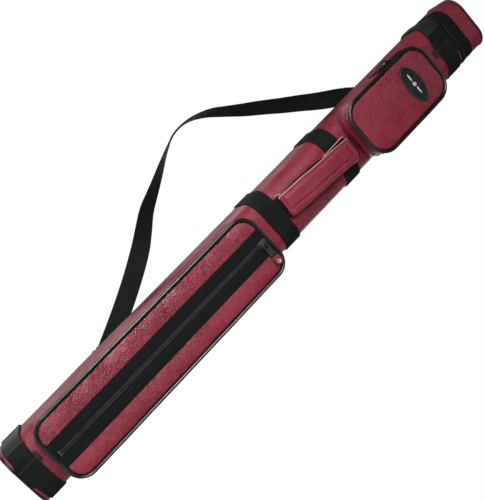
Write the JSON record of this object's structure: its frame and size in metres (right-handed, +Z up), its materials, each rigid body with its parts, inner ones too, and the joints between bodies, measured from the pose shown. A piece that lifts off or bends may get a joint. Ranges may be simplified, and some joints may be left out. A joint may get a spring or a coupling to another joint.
{
  "type": "cue case",
  "caption": "Tall square-section hard case in pebbled synthetic leather with a zipped hinged lid, tubed foam interior, two front pockets, a carrying handle and a shoulder strap.",
  "frame": {"origin": "centre of the base's bottom face, on the case's long axis", "axes": "+Z up along the case to the lid; -Y is the pocket and handle side; +Y is the lid hinge and shoulder strap side; the strap loop hangs to -X"},
  "size_m": [0.2065, 0.1284, 0.83],
  "materials": {
    "leatherette": "pebbled synthetic leather, satin",
    "stiff_board": "plain",
    "foam": "speckled closed-cell foam, matte",
    "tube_liner": "matte",
    "piping": "smooth cord cover",
    "zip_tape": "fine woven tape",
    "zip_coil": "moulded coil",
    "webbing": "ribbed woven webbing",
    "black_plastic": "moulded",
    "badge": "moulded soft badge",
    "dark_metal": "gunmetal lacquer"
  },
  "bodies": {
    "root": {"body_cover": "leatherette", "body_shell": "stiff_board", "base_cap": "leatherette", "base_board": "stiff_board", "base_pad": "foam", "foam_insert": "foam", "cue_tubes": "tube_liner", "base_piping": "piping", "neck_zip_tape": "zip_tape", "neck_zip_teeth": "zip_coil", "hinge_panel_lower": "zip_tape", "hinge_tab": "webbing", "neck_band": "webbing", "neck_band_tail": "webbing", "neck_keeper": "black_plastic", "base_band": "webbing", "base_band_tail": "webbing", "base_keeper": "black_plastic", "handle_band_upper": "webbing", "handle_band_lower": "webbing", "lower_pocket_gusset": "leatherette", "lower_pocket_panel_left": "leatherette", "lower_pocket_panel_right": "leatherette", "lower_pocket_zip_tape": "zip_tape", "lower_pocket_zip_teeth": "zip_coil", "lower_pocket_zip_stop": "zip_coil", "lower_pocket_piping": "piping", "upper_pocket_gusset": "leatherette", "upper_pocket_panel": "leatherette", "upper_pocket_piping": "piping", "upper_pocket_zip_tape": "zip_tape", "upper_pocket_zip_teeth": "zip_coil", "badge_plate": "badge", "handle_tab_upper": "webbing", "handle_tab_lower": "webbing", "strap_anchor_upper": "webbing", "strap_anchor_lower": "webbing"},
    "lid": {"lid_zip_teeth": "zip_coil", "lid_zip_tape": "zip_tape", "lid_cover": "leatherette", "lid_shell": "stiff_board", "lid_foam": "foam", "lid_top_panel": "leatherette", "lid_piping": "piping", "hinge_panel_upper": "zip_tape"},
    "lid_zip_slider": {"lid_zip_slider": "dark_metal"},
    "lid_zip_pull": {"lid_zip_pull": "black_plastic"},
    "lower_zip_slider": {"lower_zip_slider": "dark_metal"},
    "lower_zip_pull": {"lower_zip_pull": "webbing", "lower_pull_tip": "leatherette", "lower_pull_eyelet": "dark_metal"},
    "upper_zip_slider": {"upper_zip_slider": "dark_metal"},
    "upper_zip_pull": {"upper_zip_pull": "black_plastic"},
    "handle": {"handle_grip": "leatherette", "handle_webbing": "webbing"},
    "strap": {"d_ring_upper": "dark_metal", "d_ring_lower": "dark_metal", "shoulder_strap": "webbing"},
    "adjuster": {"strap_adjuster": "black_plastic"}
  },
  "joints": [
    {"name": "lid_hinge", "type": "hinge", "parent": "root", "child": "lid", "pos_m": [0, 0.042, 0.788], "axis": [-1, 0, 0], "range_deg": [0, 180]},
    {"name": "lid_zip_run", "type": "slide", "parent": "root", "child": "lid_zip_slider", "axis": [0, -1, 0], "range_m": [0, 0.028]},
    {"name": "lid_pull_flip", "type": "hinge", "parent": "lid_zip_slider", "child": "lid_zip_pull", "pos_m": [0.0436, 0.013, 0.7855], "axis": [0, -1, 0], "range_deg": [0, 165]},
    {"name": "lower_zip_run", "type": "slide", "parent": "root", "child": "lower_zip_slider", "axis": [0, 0, -1], "range_m": [0, 0.315]},
    {"name": "lower_pull_turn", "type": "hinge", "parent": "lower_zip_slider", "child": "lower_zip_pull", "pos_m": [0, -0.0804, 0.3805], "axis": [0, 1, 0], "range_deg": [-60, 150]},
    {"name": "upper_zip_run", "type": "slide", "parent": "root", "child": "upper_zip_slider", "axis": [0, 0, 1], "range_m": [-0.014, 0.018]},
    {"name": "upper_pull_flip", "type": "hinge", "parent": "upper_zip_slider", "child": "upper_zip_pull", "pos_m": [-0.0467, -0.0565, 0.6726], "axis": [0, 1, 0], "range_deg": [0, 165]},
    {"name": "handle_lift", "type": "slide", "parent": "root", "child": "handle", "axis": [0, -1, 0], "range_m": [0, 0.018]},
    {"name": "strap_swing", "type": "hinge", "parent": "root", "child": "strap", "pos_m": [0, 0.043, 0], "axis": [0, 0, -1], "range_deg": [0, 180]},
    {"name": "adjuster_slide", "type": "slide", "parent": "strap", "child": "adjuster", "axis": [-0.4538, 0, 0.8911], "range_m": [0, 0.09]}
  ]
}
